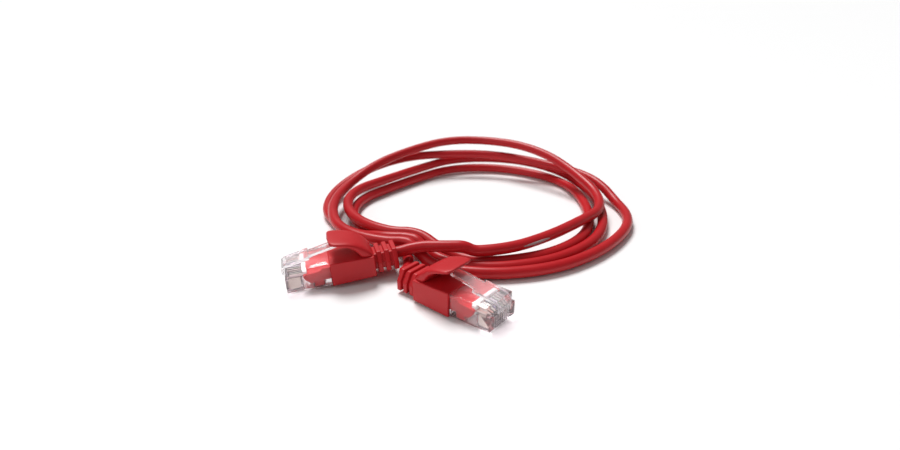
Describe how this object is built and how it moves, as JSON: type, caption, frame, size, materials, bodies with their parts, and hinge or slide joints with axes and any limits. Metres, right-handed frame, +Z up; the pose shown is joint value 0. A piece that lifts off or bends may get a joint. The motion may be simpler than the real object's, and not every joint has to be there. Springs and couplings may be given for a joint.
{
  "type": "ethernet patch cable",
  "caption": "Slim coiled network patch cable with a clear latching eight-way plug and a hooded, slotted strain-relief boot on each end.",
  "frame": {"origin": "middle of the cable's whole footprint, on the plane it rests on", "axes": "+Z up, both plugs lie on the -Y side of the coil, one pointing towards -X and one towards +X and -Y"},
  "size_m": [0.1172, 0.1366, 0.0171],
  "materials": {
    "jacket": "satin soft PVC",
    "boot": "smooth moulded",
    "sleeve": "smooth moulded",
    "clear_plug": "clear polycarbonate",
    "guide": "milky translucent",
    "gold_contacts": "gold plated",
    "copper": "bare copper",
    "insulation_orange": "insulation",
    "insulation_green": "insulation",
    "insulation_blue": "insulation",
    "insulation_brown": "insulation",
    "insulation_white_orange": "insulation",
    "insulation_white_green": "insulation",
    "insulation_white_blue": "insulation",
    "insulation_white_brown": "insulation"
  },
  "bodies": {
    "coil": {"cable_jacket": "jacket", "pair_orange": "insulation_orange", "pair_green": "insulation_green", "pair_blue": "insulation_blue", "pair_brown": "insulation_brown"},
    "bend_a": {"cable_bend_a": "jacket"},
    "plug_a": {"plug_housing_a": "clear_plug", "contacts_a": "gold_contacts", "strain_sleeve_a": "sleeve", "wire_guide_a": "guide", "boot_a": "boot", "jacket_end_a": "jacket", "wire_white_orange_a": "insulation_white_orange", "wire_orange_a": "insulation_orange", "wire_white_green_a": "insulation_white_green", "wire_blue_a": "insulation_blue", "wire_white_blue_a": "insulation_white_blue", "wire_green_a": "insulation_green", "wire_white_brown_a": "insulation_white_brown", "wire_brown_a": "insulation_brown", "copper_cores_a": "copper"},
    "latch_a": {"latch_a": "clear_plug"},
    "hood_a": {"boot_hood_a": "boot"},
    "bend_b": {"cable_bend_b": "jacket"},
    "plug_b": {"plug_housing_b": "clear_plug", "contacts_b": "gold_contacts", "strain_sleeve_b": "sleeve", "wire_guide_b": "guide", "boot_b": "boot", "jacket_end_b": "jacket", "wire_white_orange_b": "insulation_white_orange", "wire_orange_b": "insulation_orange", "wire_white_green_b": "insulation_white_green", "wire_blue_b": "insulation_blue", "wire_white_blue_b": "insulation_white_blue", "wire_green_b": "insulation_green", "wire_white_brown_b": "insulation_white_brown", "wire_brown_b": "insulation_brown", "copper_cores_b": "copper"},
    "latch_b": {"latch_b": "clear_plug"},
    "hood_b": {"boot_hood_b": "boot"}
  },
  "joints": [
    {"name": "swing_a", "type": "hinge", "parent": "coil", "child": "bend_a", "pos_m": [-0.02406, -0.03355, 0.00602], "axis": [0, 0, 1], "range_deg": [-5, 4]},
    {"name": "lift_a", "type": "hinge", "parent": "bend_a", "child": "plug_a", "pos_m": [-0.02406, -0.03355, 0.00602], "axis": [-0.279, 0.9603, 0], "range_deg": [0, 40]},
    {"name": "hood_press_a", "type": "hinge", "parent": "plug_a", "child": "hood_a", "pos_m": [-0.03626, -0.03709, 0.00815], "axis": [0.279, -0.9603, 0], "range_deg": [0, 15]},
    {"name": "latch_press_a", "type": "hinge", "parent": "plug_a", "child": "latch_a", "pos_m": [-0.05628, -0.04291, 0.00665], "axis": [-0.279, 0.9603, 0], "range_deg": [0, 7]},
    {"name": "swing_b", "type": "hinge", "parent": "coil", "child": "bend_b", "pos_m": [-0.02242, -0.04213, 0.0036], "axis": [0, 0, 1], "range_deg": [-15, 15]},
    {"name": "lift_b", "type": "hinge", "parent": "bend_b", "child": "plug_b", "pos_m": [-0.02242, -0.04213, 0.0036], "axis": [-0.6293, -0.7771, 0], "range_deg": [0, 40]},
    {"name": "hood_press_b", "type": "hinge", "parent": "plug_b", "child": "hood_b", "pos_m": [-0.0127, -0.05, 0.0067], "axis": [0.6293, 0.7771, 0], "range_deg": [0, 15]},
    {"name": "latch_press_b", "type": "hinge", "parent": "plug_b", "child": "latch_b", "pos_m": [0.00354, -0.06315, 0.0068], "axis": [-0.6293, -0.7771, 0], "range_deg": [0, 7]}
  ],
  "couplings": [
    {"joint": "latch_press_a", "follows": "hood_press_a", "ratio": 0.45},
    {"joint": "latch_press_b", "follows": "hood_press_b", "ratio": 0.45}
  ]
}
